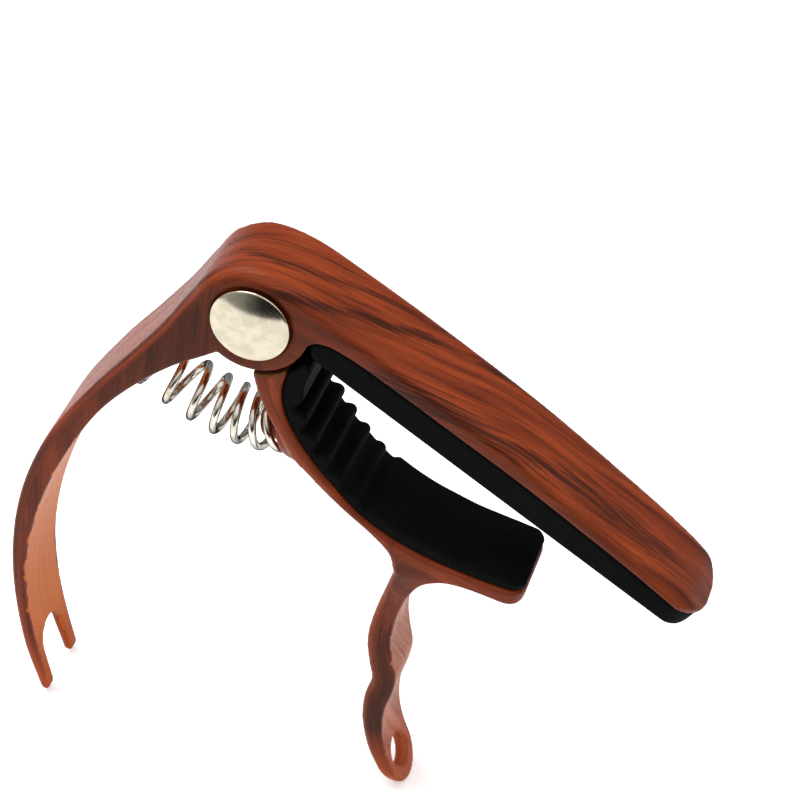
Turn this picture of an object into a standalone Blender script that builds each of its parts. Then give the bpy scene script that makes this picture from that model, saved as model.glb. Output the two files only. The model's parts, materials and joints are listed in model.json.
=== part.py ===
"""Spring guitar capo: two cast arms on a pivot pin, closed by a coil spring.

The upper arm is one casting: a straight bar that carries the fret pad, a pair
of cheeks around the pivot, and a curved hook handle that ends in a two-pronged
bridge-pin puller. The lower arm is the second casting: a knuckle between the
cheeks, a curved jaw that carries the ribbed neck pad, and a wavy handle with a
round hole in its end. The bowed spring pushes the two handles apart.

Frame: +Z is up when the capo stands on its two handles, the pivot axis runs
along Y and the jaws point along +X. The origin is the middle of the bottom of
the part's box. Every size and profile below is measured from the pivot axis.
"""
import math

import bmesh
import bpy
from mathutils import Matrix, Vector

MM = 0.001

PIVOT = (-15.897, 80.917)  # x and z of the pivot axis above the origin (mm)

# Overall widths, along the pivot axis (mm)
BODY_HALF = 6.75           # both arms at the pivot
HOOK_TIP_HALF = 5.4        # hook handle at its prongs
HANDLE_HALF = 4.7          # wavy handle, also the radius of its round end
PAD_HALF = 6.35            # both pads
TAPE_HALF = 5.6            # adhesive tapes behind the pads
GAP = 0.25                 # space left between pieces that rest on each other
ARM_EDGE = 0.7             # rounding of both castings' rims

# Pivot (mm)
CHEEK_RADIUS = 7.8
KNUCKLE_RADIUS = 5.2
KNUCKLE_HALF = 3.0
KNUCKLE_END_DEG = 215.0    # where the knuckle's round meets the jaw's back
WASHER_THICKNESS = 0.35
WASHER_RADIUS = 4.2
WASHER_BORE = 2.3
SLOT_HALF = KNUCKLE_HALF + WASHER_THICKNESS + 2 * GAP
SLOT_RADIUS = 5.6          # slot round the knuckle
SLOT_REACH = 10.5          # slot beyond the cheeks, where the jaw swings
SLOT_ANGLES = (-150.0, -14.0)
SHOULDER_RADIUS = 8.3      # hollow shoulder of the lower arm below the cheeks
PIN_RADIUS = 2.0
PIN_HALF = 6.1
PIN_CHAMFER = 0.3
CHEEK_BORE = 2.05
KNUCKLE_BORE = 2.07
CAP_RADIUS = 5.5
CAP_SEAT_RADIUS = CAP_RADIUS + GAP
CAP_SEAT_DEPTH = 0.65
CAP_BACK = BODY_HALF - CAP_SEAT_DEPTH + GAP
CAP_RIM = 7.6              # where the cap's dome starts
CAP_TOP = 8.45             # top of the dome
ROUND_STEPS = 64
SMALL_STEPS = 48

# Ends of the arms (mm)
FORK_SLOT_HALF = 3.45      # between the two prongs of the pin puller
FORK_CROTCH_Z = -73.4
RING_CENTRE = (25.6, -76.5)
RING_HOLE_RADIUS = 2.4
RING_NORMAL_DEG = 20.0     # the hole's axis, above the X axis
BAR_TIP = (65.2, -29.0)
BAR_TIP_CORNER = 3.5
BAR_SLOPE_DEG = -29.0
JAW_TIP = (41.5, -33.6)
JAW_TIP_CORNER = 2.6
JAW_SLOPE_DEG = -8.0

# Pads and tapes (mm)
TAPE_THICKNESS = 0.25
PAD_LIFT = TAPE_THICKNESS + 2 * GAP
RIB_PITCH = 3.4
RIB_HEIGHT = 1.3
RIB_COUNT = 6
LAST_RIB_X = 16.75         # crest of the rib nearest the jaw's tip
GROOVE_WEB = 0.55          # least thickness left under a groove

# Spring (mm): the axis is a quadratic curve, bowed down between its two seats
SPRING_AXIS = ((-16.3, -15.1), (-3.85, -23.4), (3.5, -20.8))
SPRING_COIL_RADIUS = 3.75
WIRE_RADIUS = 0.5
SPRING_TURNS = 6.42
WIRE_SIDES = 8
STEPS_PER_TURN = 16
POCKET_RADIUS = 4.7        # recess in the hook handle
SEAT_RADII = (4.6, 8.2)    # conical seat behind the jaw
SEAT_LENGTH = 7.0
SEAT_OVERLAP = 1.0         # how far the seat runs into the jaw
BOSS_RADII = (2.7, 2.1)
BOSS_LENGTH = 3.2

# Side profiles (mm), as (x, z): each is a smooth curve through its points
HOOK_OUTER = ((-28.2, -80.0), (-31.2, -71.0), (-33.2, -56.0), (-32.1, -42.0),
              (-28.0, -29.2), (-22.0, -18.8), (-16.2, -10.4), (-12.2, -4.3),
              (-9.2, 1.0), (-6.5, 5.2), (-2.2, 7.6), (3.6, 7.1), (13.0, 3.0),
              (26.5, -3.9), (38.6, -10.6), (50.5, -18.1), (58.2, -23.2),
              (62.8, -26.8), (65.0, -29.5))
BAR_UNDER = ((64.6, -30.0), (56.4, -24.7), (47.4, -19.4), (38.5, -14.3),
             (28.2, -8.9), (20.9, -5.1), (14.4, -1.9), (10.6, -0.6),
             (8.7, -0.8), (7.6, -1.75))
CHEEK_ARC = (-16.0, -124.0)
HOOK_INNER = ((-5.6, -7.4), (-10.8, -11.3), (-16.3, -16.9), (-20.6, -22.6),
              (-24.6, -30.4), (-28.0, -39.2), (-30.3, -48.5), (-31.1, -57.5),
              (-30.3, -66.5), (-28.8, -73.5), (-27.0, -79.9))
HOOK_END = (-27.5, -80.4)
JAW_BACK = ((0.5, -8.2), (1.7, -11.8), (3.7, -15.8), (6.4, -19.6),
            (10.0, -23.6), (14.7, -27.5), (19.3, -30.7), (22.1, -33.3),
            (23.1, -36.4))
HANDLE_OUTER = ((22.0, -41.0), (20.7, -47.0), (20.2, -52.0), (20.9, -56.4),
                (21.6, -59.6), (20.9, -63.0), (20.9, -67.4), (22.3, -73.2),
                (24.4, -77.4), (26.6, -81.6))
HANDLE_INNER = ((28.6, -81.0), (26.9, -77.6), (25.1, -73.4), (24.2, -69.4),
                (24.1, -65.2), (24.9, -61.2), (25.1, -58.4), (24.3, -54.8),
                (23.7, -51.0), (24.1, -46.0), (25.6, -40.6), (27.4, -37.3),
                (29.5, -35.8), (31.8, -35.3), (35.5, -35.5), (38.4, -35.9))
JAW_END = ((40.6, -36.0), (41.4, -35.4), (41.4, -34.4), (40.9, -33.8))
JAW_FACE = ((39.6, -33.55), (36.0, -33.35), (32.3, -32.9), (27.2, -32.0),
            (22.1, -30.3), (17.5, -27.8), (13.3, -24.2), (10.0, -20.8),
            (7.3, -17.2), (5.5, -13.8), (4.8, -10.6), (5.3, -7.0))
HANDLE_NARROWING = ((6.75, -35.8), (6.0, -39.0), (5.1, -43.0), (4.75, -47.0),
                    (4.7, -60.0), (4.7, -76.5))      # as (half-width, z)
FRET_PAD_FACE = ((10.0, -4.45), (60.0, -31.0))       # a flat underside
FRET_PAD_END = ((8.2, -3.0), (8.7, -3.75))
FRET_PAD_NOSE = ((61.2, -31.5), (62.4, -31.3), (63.2, -30.6), (63.3, -30.2))
FRET_PAD_SPAN = (8.1, 63.0)
FRET_TAPE_SPAN = (12.0, 60.0)
NECK_PAD_TOP = ((8.6, -6.2), (7.9, -8.5), (7.9, -11.0), (8.6, -13.8),
                (10.2, -16.9), (12.15, -19.6), (14.45, -22.4), (16.75, -24.8),
                (18.9, -26.15), (22.1, -27.9), (25.2, -29.2), (28.2, -30.1),
                (31.2, -30.9), (34.2, -31.4), (38.0, -31.95), (40.2, -32.3))
NECK_PAD_END = ((6.5, -6.0), (7.3, -5.1), (8.3, -5.3))
NECK_PAD_NOSE = ((41.2, -32.7), (41.4, -33.2))

SIDES = ((-1, "front"), (1, "back"))
CUT_REACH = 10.0           # cutters run this far past what they cut


def smooth(points, steps=4):
    """Points of a centripetal Catmull-Rom curve through the given points."""
    pts = [Vector(p) for p in points]
    pts = [2 * pts[0] - pts[1]] + pts + [2 * pts[-1] - pts[-2]]
    out = []
    for p0, p1, p2, p3 in zip(pts, pts[1:], pts[2:], pts[3:]):
        t0 = 0.0
        t1 = t0 + math.sqrt((p1 - p0).length)
        t2 = t1 + math.sqrt((p2 - p1).length)
        t3 = t2 + math.sqrt((p3 - p2).length)
        for k in range(steps):
            t = t1 + (t2 - t1) * k / steps
            a1 = p0.lerp(p1, (t - t0) / (t1 - t0))
            a2 = p1.lerp(p2, (t - t1) / (t2 - t1))
            a3 = p2.lerp(p3, (t - t2) / (t3 - t2))
            b1 = a1.lerp(a2, (t - t0) / (t2 - t0))
            b2 = a2.lerp(a3, (t - t1) / (t3 - t1))
            out.append(tuple(b1.lerp(b2, (t - t1) / (t2 - t1))))
    out.append(tuple(pts[-2]))
    return out


def arc(centre, radius, start_deg, end_deg, steps):
    """Points of a circular arc, both ends included."""
    out = []
    for k in range(steps + 1):
        angle = math.radians(start_deg + (end_deg - start_deg) * k / steps)
        out.append((centre[0] + radius * math.cos(angle), centre[1] + radius * math.sin(angle)))
    return out


def offset(points, distance):
    """An open curve moved to its left by a distance, or by one for each point."""
    out = []
    for k, point in enumerate(points):
        ahead = Vector(points[min(k + 1, len(points) - 1)])
        behind = Vector(points[max(k - 1, 0)])
        along = (ahead - behind).normalized()
        shift = distance[k] if isinstance(distance, list) else distance
        out.append((point[0] - along.y * shift, point[1] + along.x * shift))
    return out


def quadratic(controls, t):
    """Point and unit direction at t on a quadratic Bezier curve."""
    a, b, c = (Vector(p) for p in controls)
    point = a.lerp(b, t).lerp(b.lerp(c, t), t)
    return point, ((b - a).lerp(c - b, t)).normalized()


def new_object(name, bm):
    """Close a bmesh into a named object with its faces pointing out."""
    bmesh.ops.recalc_face_normals(bm, faces=bm.faces)
    mesh = bpy.data.meshes.new(name)
    bm.to_mesh(mesh)
    bm.free()
    obj = bpy.data.objects.new(name, mesh)
    bpy.context.scene.collection.objects.link(obj)
    return obj


def extruded(name, ring, shift, bevel=0.0):
    """Extrude a closed ring of points in mm by a shift, rims rounded over."""
    bm = bmesh.new()
    face = bm.faces.new([bm.verts.new(Vector(point) * MM) for point in ring])
    rims = list(face.edges)
    side = bmesh.ops.extrude_face_region(bm, geom=[face], use_keep_orig=True)
    moved = [item for item in side["geom"] if isinstance(item, bmesh.types.BMVert)]
    rims += [item for item in side["geom"] if isinstance(item, bmesh.types.BMEdge)]
    bmesh.ops.translate(bm, verts=moved, vec=Vector(shift) * MM)
    if bevel:
        bmesh.ops.recalc_face_normals(bm, faces=bm.faces)
        bmesh.ops.bevel(bm, geom=rims, offset=bevel * MM, offset_type="OFFSET",
                        segments=2, profile=0.5, affect="EDGES", clamp_overlap=True)
    return new_object(name, bm)


def prism(name, outline, y_low, y_high, bevel=0.0):
    """Extrude an (x, z) outline in mm along Y."""
    ring = [(x, y_low, z) for x, z in outline]
    return extruded(name, ring, (0, y_high - y_low, 0), bevel)


def cross_cutter(name, outline, x_low, x_high):
    """Extrude a (y, z) outline in mm along X."""
    ring = [(x_low, y, z) for y, z in outline]
    return extruded(name, ring, (x_high - x_low, 0, 0))


def corner_cutter(name, tip, slope_deg, radius, half_width, side):
    """Round one corner of an arm's tip, seen along the arm's own normal."""
    slope = math.radians(slope_deg)
    along = Vector((math.cos(slope), 0, math.sin(slope)))
    normal = Vector((-along.z, 0, along.x))
    outline = arc((-radius, half_width - radius), radius, 90, 0, 8)
    outline += [(radius, half_width - radius), (radius, half_width + radius),
                (-radius, half_width + radius)]
    start = Vector((tip[0], 0, tip[1])) - normal * CUT_REACH
    ring = [start + along * s + Vector((0, side * y, 0)) for s, y in outline]
    return extruded(name, ring, normal * 2 * CUT_REACH)


def turned(name, profile, matrix):
    """Spin a closed (radius, height) profile in mm about the matrix's Z axis."""
    bm = bmesh.new()
    verts = [bm.verts.new((r * MM, 0, h * MM)) for r, h in profile]
    edges = [bm.edges.new((a, b)) for a, b in zip(verts, verts[1:] + verts[:1])]
    bmesh.ops.spin(bm, geom=verts + edges, cent=(0, 0, 0), axis=(0, 0, 1),
                   angle=2 * math.pi, steps=SMALL_STEPS, use_merge=True)
    bmesh.ops.remove_doubles(bm, verts=bm.verts, dist=1e-7)
    bmesh.ops.dissolve_degenerate(bm, edges=bm.edges, dist=1e-7)
    bmesh.ops.transform(bm, matrix=matrix, verts=bm.verts)
    return new_object(name, bm)


def cylinder(name, radius, height, matrix, top_radius=None):
    """A cylinder or cone in mm that stands on the matrix's XY plane."""
    bm = bmesh.new()
    bmesh.ops.create_cone(bm, cap_ends=True, segments=ROUND_STEPS, radius1=radius * MM,
                          radius2=(top_radius or radius) * MM, depth=height * MM)
    bmesh.ops.translate(bm, verts=bm.verts, vec=(0, 0, height * MM / 2))
    bmesh.ops.transform(bm, matrix=matrix, verts=bm.verts)
    return new_object(name, bm)


def frame_at(x, y, z, direction):
    """Matrix with its origin at a point in mm and its Z axis along a direction."""
    turn = Vector(direction).to_track_quat("Z", "Y").to_matrix().to_4x4()
    return Matrix.Translation(Vector((x, y, z)) * MM) @ turn


def pivot_frame(y, sign=1):
    """Matrix on the pivot axis at y mm, with its Z axis along +Y or -Y."""
    return frame_at(0, y, 0, (0, sign, 0))


def combine(obj, tool, operation):
    """Boolean a guide object into obj, and keep the guide out of renders."""
    modifier = obj.modifiers.new(tool.name, "BOOLEAN")
    modifier.operation = operation
    modifier.solver = "EXACT"
    modifier.object = tool
    tool.hide_render = True
    tool.display_type = "WIRE"
    tool.parent = obj


def finish(obj, colour, roughness, metallic, parent):
    """Give an object its material, smooth shading and parent."""
    material = bpy.data.materials.new(obj.name)
    material.use_nodes = True
    shader = material.node_tree.nodes["Principled BSDF"]
    shader.inputs["Base Color"].default_value = (*colour, 1.0)
    shader.inputs["Roughness"].default_value = roughness
    shader.inputs["Metallic"].default_value = metallic
    obj.data.materials.append(material)
    obj.data.shade_smooth()
    obj.data.set_sharp_from_angle(angle=math.radians(35))
    obj.parent = parent


def build_upper_arm(parent):
    """Bar, cheeks and hook handle in one casting."""
    outline = smooth(HOOK_OUTER) + smooth(BAR_UNDER)
    outline += arc((0, 0), CHEEK_RADIUS, *CHEEK_ARC, 24) + smooth(HOOK_INNER) + [HOOK_END]
    arm = prism("upper_arm", outline, -BODY_HALF, BODY_HALF, ARM_EDGE)
    for side, label in SIDES:
        taper = [(side * BODY_HALF, -8), (side * HOOK_TIP_HALF, -83),
                 (side * CUT_REACH, -83), (side * CUT_REACH, -8)]
        combine(arm, cross_cutter("cut_hook_" + label, taper, -45, -7.9), "DIFFERENCE")
        corner = corner_cutter("cut_bar_tip_" + label, BAR_TIP, BAR_SLOPE_DEG,
                               BAR_TIP_CORNER, BODY_HALF, side)
        combine(arm, corner, "DIFFERENCE")
        seat = cylinder("cut_cap_seat_" + label, CAP_SEAT_RADIUS, CUT_REACH,
                        pivot_frame(side * (BODY_HALF - CAP_SEAT_DEPTH), side))
        combine(arm, seat, "DIFFERENCE")
    slot = arc((0, 0), SLOT_RADIUS, SLOT_ANGLES[1], SLOT_ANGLES[0] + 360, 40)
    slot += arc((0, 0), SLOT_REACH, *SLOT_ANGLES, 16)
    combine(arm, prism("cut_slot", slot, -SLOT_HALF, SLOT_HALF), "DIFFERENCE")
    bore = cylinder("cut_bore", CHEEK_BORE, 2 * CUT_REACH, pivot_frame(-CUT_REACH))
    combine(arm, bore, "DIFFERENCE")
    fork = arc((0, FORK_CROTCH_Z), FORK_SLOT_HALF, 0, 180, 20)
    fork += [(-FORK_SLOT_HALF - 0.2, -86), (FORK_SLOT_HALF + 0.2, -86)]
    combine(arm, cross_cutter("cut_fork", fork, -40, -20), "DIFFERENCE")
    point, along = quadratic(SPRING_AXIS, 0.0)
    floor = point - along * (WIRE_RADIUS + GAP)
    pocket = cylinder("cut_spring_pocket", POCKET_RADIUS, CUT_REACH,
                      frame_at(floor.x, 0, floor.y, (along.x, 0, along.y)))
    combine(arm, pocket, "DIFFERENCE")
    finish(arm, (0.23, 0.062, 0.022), 0.42, 0.1, parent)


def spring_seat(arm):
    """Conical seat and boss that hold the spring's end behind the jaw."""
    point, along = quadratic(SPRING_AXIS, 1.0)
    plane = point + along * (WIRE_RADIUS + GAP)
    seat = cylinder("add_seat", SEAT_RADII[0], SEAT_LENGTH,
                    frame_at(plane.x, 0, plane.y, (along.x, 0, along.y)), SEAT_RADII[1])
    inside = offset(smooth(JAW_BACK[:6]), SEAT_OVERLAP)
    limit = prism("limit_seat", inside + [(-8, -30), (-8, -8)], -CUT_REACH, CUT_REACH)
    combine(seat, limit, "INTERSECT")
    combine(arm, seat, "UNION")
    root = plane + along
    boss = cylinder("add_boss", BOSS_RADII[0], BOSS_LENGTH + 1,
                    frame_at(root.x, 0, root.y, (-along.x, 0, -along.y)), BOSS_RADII[1])
    combine(arm, boss, "UNION")


def build_lower_arm(parent):
    """Knuckle, jaw and wavy handle in one casting."""
    outline = smooth(JAW_BACK) + smooth(HANDLE_OUTER) + smooth(HANDLE_INNER)
    outline += smooth(JAW_END) + smooth(JAW_FACE)
    outline += arc((0, 0), KNUCKLE_RADIUS, 0, KNUCKLE_END_DEG, 32)
    arm = prism("lower_arm", outline, -BODY_HALF, BODY_HALF, ARM_EDGE)
    spring_seat(arm)
    turn = math.radians(RING_NORMAL_DEG)
    for side, label in SIDES:
        shoulder = cylinder("cut_shoulder_" + label, SHOULDER_RADIUS, CUT_REACH,
                            pivot_frame(side * KNUCKLE_HALF, side))
        combine(arm, shoulder, "DIFFERENCE")
        corner = corner_cutter("cut_jaw_tip_" + label, JAW_TIP, JAW_SLOPE_DEG,
                               JAW_TIP_CORNER, BODY_HALF, side)
        combine(arm, corner, "DIFFERENCE")
        edge = smooth(HANDLE_NARROWING)[:-1] + [
            (y, RING_CENTRE[1] + drop * math.cos(turn))
            for y, drop in arc((0, 0), HANDLE_HALF, 0, -90, 12)]
        edge += [(0, -86), (CUT_REACH, -86), (CUT_REACH, HANDLE_NARROWING[0][1])]
        narrow = [(side * y, z) for y, z in edge]
        combine(arm, cross_cutter("cut_handle_" + label, narrow, 12, 36), "DIFFERENCE")
    bore = cylinder("cut_knuckle_bore", KNUCKLE_BORE, 2 * CUT_REACH, pivot_frame(-CUT_REACH))
    combine(arm, bore, "DIFFERENCE")
    normal = Vector((math.cos(turn), 0, math.sin(turn)))
    start = Vector((RING_CENTRE[0], 0, RING_CENTRE[1])) - normal * CUT_REACH
    hole = cylinder("cut_ring_hole", RING_HOLE_RADIUS, 2 * CUT_REACH, frame_at(*start, normal))
    combine(arm, hole, "DIFFERENCE")
    finish(arm, (0.26, 0.075, 0.027), 0.42, 0.1, parent)


def between(points, span):
    """The points whose x lies inside a span."""
    return [point for point in points if span[0] < point[0] < span[1]]


def build_fret_pad(parent):
    """Flat silicone pad under the bar, with its tape."""
    under = smooth(BAR_UNDER)
    top = between(offset(under, PAD_LIFT), FRET_PAD_SPAN)
    outline = top + list(FRET_PAD_END) + list(FRET_PAD_FACE) + smooth(FRET_PAD_NOSE)
    pad = prism("fret_pad", outline, -PAD_HALF, PAD_HALF)
    finish(pad, (0.012, 0.012, 0.013), 0.55, 0.0, parent)
    near = between(offset(under, GAP), FRET_TAPE_SPAN)
    far = between(offset(under, GAP + TAPE_THICKNESS), FRET_TAPE_SPAN)
    tape = prism("fret_pad_tape", near + far[::-1], -TAPE_HALF, TAPE_HALF)
    finish(tape, (0.75, 0.72, 0.62), 0.6, 0.0, parent)


def distance(point, path):
    """Distance in mm from a point to an open path."""
    nearest = []
    for a, b in zip(path, path[1:]):
        start, step = Vector(a), Vector(b) - Vector(a)
        share = (Vector(point) - start).dot(step) / step.length_squared
        foot = start + step * min(max(share, 0.0), 1.0)
        nearest.append((Vector(point) - foot).length)
    return min(nearest)


def ribbed(path, back):
    """A path with round ribs between grooves, which stop short of the back."""
    lengths = [0.0]
    for a, b in zip(path, path[1:]):
        lengths.append(lengths[-1] + (Vector(b) - Vector(a)).length)
    last = next(s for s, point in zip(lengths, path) if point[0] >= LAST_RIB_X)
    depths = []
    for length, point in zip(lengths, path):
        turns = (length - last) / RIB_PITCH
        groove = 0.5 * RIB_HEIGHT * (1 - math.cos(2 * math.pi * turns))
        groove = min(groove, distance(point, back) - GROOVE_WEB)
        depths.append(-groove if -(RIB_COUNT - 1) < turns < 1 else 0.0)
    return offset(path, depths)


def build_neck_pad(parent):
    """Ribbed silicone pad in the jaw, with its tape."""
    face = smooth(JAW_FACE, 3)
    back = offset(face, -PAD_LIFT)
    outline = back + list(NECK_PAD_END)
    outline += ribbed(smooth(NECK_PAD_TOP, 8), back) + list(NECK_PAD_NOSE)
    pad = prism("neck_pad", outline, -PAD_HALF, PAD_HALF)
    for side, label in SIDES:
        corner = corner_cutter("cut_pad_tip_" + label, JAW_TIP, JAW_SLOPE_DEG,
                               JAW_TIP_CORNER, PAD_HALF, side)
        combine(pad, corner, "DIFFERENCE")
    finish(pad, (0.012, 0.012, 0.013), 0.55, 0.0, parent)
    near = offset(face, -GAP)[2:-3]
    far = offset(face, -GAP - TAPE_THICKNESS)[2:-3]
    tape = prism("neck_pad_tape", near + far[::-1], -TAPE_HALF, TAPE_HALF)
    finish(tape, (0.75, 0.72, 0.62), 0.6, 0.0, parent)


def build_pivot(parent):
    """Pin, its two domed caps and the two washers beside the knuckle."""
    neck = PIN_RADIUS - PIN_CHAMFER
    shaft = PIN_HALF - PIN_CHAMFER
    profile = [(0, -PIN_HALF), (neck, -PIN_HALF), (PIN_RADIUS, -shaft),
               (PIN_RADIUS, shaft), (neck, PIN_HALF), (0, PIN_HALF)]
    pin = turned("pivot_pin", profile, pivot_frame(0))
    finish(pin, (0.6, 0.6, 0.6), 0.3, 1.0, parent)
    inner = KNUCKLE_HALF + GAP
    outer = inner + WASHER_THICKNESS
    for side, label in SIDES:
        steps = [math.radians(15 * k) for k in range(6)]
        dome = [(CAP_RADIUS * math.cos(a), CAP_RIM + (CAP_TOP - CAP_RIM) * math.sin(a))
                for a in steps]
        profile = [(0, CAP_BACK), (CAP_RADIUS, CAP_BACK)] + dome + [(0, CAP_TOP)]
        cap = turned(label + "_cap", profile, pivot_frame(0, side))
        finish(cap, (0.78, 0.76, 0.72), 0.12, 1.0, parent)
        profile = [(WASHER_BORE, inner), (WASHER_RADIUS, inner),
                   (WASHER_RADIUS, outer), (WASHER_BORE, outer)]
        washer = turned(label + "_washer", profile, pivot_frame(0, side))
        finish(washer, (0.8, 0.8, 0.76), 0.5, 0.0, parent)


def build_spring(parent):
    """Round wire wound about the bowed axis, right-handed from the hook end."""
    rings = int(SPRING_TURNS * STEPS_PER_TURN)
    centres = []
    for k in range(rings + 1):
        t = k / rings
        point, along = quadratic(SPRING_AXIS, t)
        across = Vector((-along.y, along.x))
        angle = -2 * math.pi * SPRING_TURNS * t
        radial = SPRING_COIL_RADIUS * math.cos(angle)
        centres.append(Vector((point.x + radial * across.x, SPRING_COIL_RADIUS * math.sin(angle),
                               point.y + radial * across.y)))
    bm = bmesh.new()
    loops = []
    for k, centre in enumerate(centres):
        tangent = (centres[min(k + 1, rings)] - centres[max(k - 1, 0)]).normalized()
        axis_point, _ = quadratic(SPRING_AXIS, k / rings)
        outward = centre - Vector((axis_point.x, 0, axis_point.y))
        outward = (outward - tangent * outward.dot(tangent)).normalized()
        binormal = tangent.cross(outward)
        loop = []
        for side in range(WIRE_SIDES):
            angle = 2 * math.pi * side / WIRE_SIDES
            edge = outward * math.cos(angle) + binormal * math.sin(angle)
            loop.append(bm.verts.new((centre + edge * WIRE_RADIUS) * MM))
        loops.append(loop)
    for a, b in zip(loops, loops[1:]):
        for side in range(WIRE_SIDES):
            after = (side + 1) % WIRE_SIDES
            bm.faces.new((a[side], a[after], b[after], b[side]))
    bm.faces.new(loops[0])
    bm.faces.new(loops[-1])
    spring = new_object("main_spring", bm)
    finish(spring, (0.7, 0.69, 0.66), 0.18, 1.0, parent)


def empty(name):
    """A parent on the pivot axis for everything that turns together."""
    obj = bpy.data.objects.new(name, None)
    obj.location = (PIVOT[0] * MM, 0, PIVOT[1] * MM)
    bpy.context.scene.collection.objects.link(obj)
    return obj


def main():
    for obj in list(bpy.data.objects):
        bpy.data.objects.remove(obj, do_unlink=True)
    fixed = empty("upper_group")
    moving = empty("jaw_group")
    build_upper_arm(fixed)
    build_fret_pad(fixed)
    build_pivot(fixed)
    build_spring(fixed)
    build_lower_arm(moving)
    build_neck_pad(moving)


main()
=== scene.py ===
"""Finished look of a spring guitar capo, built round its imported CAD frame.

The castings and the pads are rounded solids: each is a distance field on a
grid, turned into a mesh. The caps are spun profiles and the spring is a swept
wire. Sizes are in mm about the pivot, other than the light's and the floor's.
"""

import json
import math

import bpy
import numpy as np
from mathutils import Matrix, Vector


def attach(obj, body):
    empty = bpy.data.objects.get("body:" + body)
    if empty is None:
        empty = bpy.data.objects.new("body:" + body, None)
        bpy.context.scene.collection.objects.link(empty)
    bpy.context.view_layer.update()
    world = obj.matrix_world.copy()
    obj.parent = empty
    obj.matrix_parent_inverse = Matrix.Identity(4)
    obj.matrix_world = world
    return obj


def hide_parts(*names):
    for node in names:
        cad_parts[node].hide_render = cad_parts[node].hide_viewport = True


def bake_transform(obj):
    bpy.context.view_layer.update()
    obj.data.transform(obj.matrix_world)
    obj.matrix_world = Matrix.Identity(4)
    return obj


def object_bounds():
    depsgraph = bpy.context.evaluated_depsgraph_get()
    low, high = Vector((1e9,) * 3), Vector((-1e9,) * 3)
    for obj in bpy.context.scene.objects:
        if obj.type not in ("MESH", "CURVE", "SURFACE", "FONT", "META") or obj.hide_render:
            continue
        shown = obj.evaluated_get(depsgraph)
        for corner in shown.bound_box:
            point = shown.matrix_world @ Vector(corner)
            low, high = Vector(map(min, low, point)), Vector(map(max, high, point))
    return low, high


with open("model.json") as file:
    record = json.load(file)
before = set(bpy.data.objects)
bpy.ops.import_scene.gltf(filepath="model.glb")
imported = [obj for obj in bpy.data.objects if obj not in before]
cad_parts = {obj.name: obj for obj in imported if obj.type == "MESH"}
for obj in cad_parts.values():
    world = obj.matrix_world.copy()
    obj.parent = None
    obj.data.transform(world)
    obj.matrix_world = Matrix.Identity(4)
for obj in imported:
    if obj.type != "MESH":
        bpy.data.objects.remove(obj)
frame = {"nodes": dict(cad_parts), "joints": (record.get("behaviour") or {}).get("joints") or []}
cad_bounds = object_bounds()

MM = 0.001
PIVOT = np.array(frame["joints"][0]["pos_m"], float)

# Widths and rounding (mm)
BODY_HALF = 6.75
HOOK_TIP_HALF = 5.7
PAD_HALF = 6.35
TAPE_HALF = 5.6
BAR_ROUND = 2.0            # over the bar and the shoulder
HOOK_ROUND = 0.6           # down the hook's back
HANDLE_ROUND = 1.0
INNER_ROUND = 0.5
PAD_ROUND = 0.55

# Pivot (mm)
CHEEK_RADIUS = 7.8
CHEEK_ARC = (-16.0, -124.0)
KNUCKLE_RADIUS = 5.2
KNUCKLE_HALF = 3.0
KNUCKLE_END_DEG = 215.0
SLOT_HALF = 3.85
SLOT_RADIUS = 5.6
SLOT_REACH = 10.5
SLOT_ANGLES = (-150.0, -14.0)
SHOULDER_RADIUS = 8.3
CHEEK_BORE = 2.05
KNUCKLE_BORE = 2.07
CAP_SEAT_RADIUS = 5.6
CAP_SEAT_LEVEL = 6.1
CAP_RADIUS = 5.5
CAP_BACK = 6.35
CAP_EDGE = 7.3
CAP_TOP = 8.45

# Ends (mm)
FORK_SLOT_HALF = 3.3
FORK_CROTCH_Z = -74.1
HOOK_END_Z = -80.4
RING_CENTRE = (25.6, -76.5)
RING_HOLE_RADIUS = 2.4
RING_NORMAL_DEG = 20.0
BAR_TIP = (65.8, -29.3)
BAR_TIP_CORNER = 5.6
BAR_SLOPE_DEG = -29.0
JAW_TIP = (41.5, -33.6)
JAW_TIP_CORNER = 2.6
JAW_SLOPE_DEG = -8.0

# Spring (mm)
SPRING_AXIS = ((-16.3, -15.1), (-3.85, -23.4), (3.5, -20.8))
SPRING_COIL_RADIUS = 3.75
WIRE_RADIUS = 0.55
SPRING_TURNS = 6.42
POCKET_RADIUS = 4.7
SEAT_RADII = (4.6, 8.2)
SEAT_LENGTH = 7.0
BOSS_RADII = (2.7, 2.1)
BOSS_LENGTH = 3.2
SEAT_GAP = 0.75

# Ribs of the neck pad (mm)
RIB_PITCH = 3.4
RIB_HEIGHT = 1.4
RIB_COUNT = 6
RIB_SHARE = 0.36           # half of a rib's foot, as a share of the pitch
LAST_RIB_X = 16.75
GROOVE_WEB = 0.55

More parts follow.
